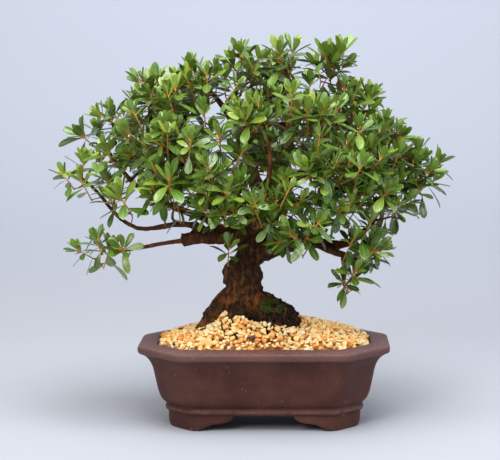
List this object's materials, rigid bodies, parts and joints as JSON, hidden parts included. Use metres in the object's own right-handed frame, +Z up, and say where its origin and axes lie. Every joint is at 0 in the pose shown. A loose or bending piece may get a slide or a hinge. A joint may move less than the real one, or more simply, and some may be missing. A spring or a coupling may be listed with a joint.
{
  "type": "bonsai tree in a pot",
  "caption": "Small-leaved evergreen azalea bonsai with spreading limbs, standing in a footed rectangular unglazed clay pot dressed with clay grains.",
  "frame": {"origin": "middle of the underside of the object's box, on the surface the pot stands on", "axes": "+Z up, -Y to the viewer who faces the pot's long front, +X to the right"},
  "size_m": [0.3756, 0.2248, 0.3723],
  "materials": {
    "unglazed_clay": "unglazed purple-brown stoneware, satin, with fine pits, scuffs and dust",
    "screen_plastic": "moulded black plastic mesh",
    "screen_wire": "soft bronze-coloured training wire",
    "soil": "damp dark growing mix, crumbly",
    "clay_grains": "dry baked clay grains, cream to orange-tan with a few dark ones, matt and chalky",
    "fibrous_roots": "matted dark fine roots with old soil",
    "moss": "short green moss tufts",
    "trunk_bark": "rough dark brown bark with reddish and lichen patches",
    "limb_bark": "smoother reddish-brown bark",
    "leaves": "small waxy evergreen leaves, mid to dark green with paler undersides and golden stalks"
  },
  "bodies": {
    "root": {"drain_screen_left": "screen_plastic", "drain_screen_right": "screen_plastic", "fibrous_roots": "fibrous_roots", "leader": "limb_bark", "leaves_back_centre": "leaves", "leaves_back_left": "leaves", "leaves_back_right": "leaves", "leaves_back_right_low": "leaves", "leaves_centre": "leaves", "leaves_front_high": "leaves", "leaves_front_left": "leaves", "leaves_front_low": "leaves", "leaves_front_low_left": "leaves", "leaves_front_right": "leaves", "leaves_high_left": "leaves", "leaves_high_left_front": "leaves", "leaves_left_end": "leaves", "leaves_left_front": "leaves", "leaves_left_low": "leaves", "leaves_left_middle": "leaves", "leaves_left_upper_end": "leaves", "leaves_left_upper_inner": "leaves", "leaves_left_upper_top": "leaves", "leaves_right_drop": "leaves", "leaves_right_end": "leaves", "leaves_right_front": "leaves", "leaves_right_low_end": "leaves", "leaves_right_low_front": "leaves", "leaves_right_low_inner": "leaves", "leaves_right_low_tip": "leaves", "leaves_right_top": "leaves", "leaves_top_back": "leaves", "leaves_top_centre": "leaves", "leaves_top_centre_left": "leaves", "leaves_top_left": "leaves", "leaves_top_left_back": "leaves", "leaves_top_right": "leaves", "leaves_under_left": "leaves", "leaves_upper_right": "leaves", "leaves_upper_right_front": "leaves", "limb_back_left": "limb_bark", "limb_back_right": "limb_bark", "limb_front": "limb_bark", "limb_high_left": "limb_bark", "limb_left": "limb_bark", "limb_left_low": "limb_bark", "limb_left_middle": "limb_bark", "limb_left_upper": "limb_bark", "limb_low_right": "limb_bark", "limb_low_right_drop": "limb_bark", "limb_right": "limb_bark", "limb_upper_left": "limb_bark", "limb_upper_right": "limb_bark", "moss": "moss", "pot": "unglazed_clay", "screen_wire_left": "screen_wire", "screen_wire_right": "screen_wire", "soil": "soil", "top_dressing": "clay_grains", "trunk": "trunk_bark"}
  },
  "joints": []
}
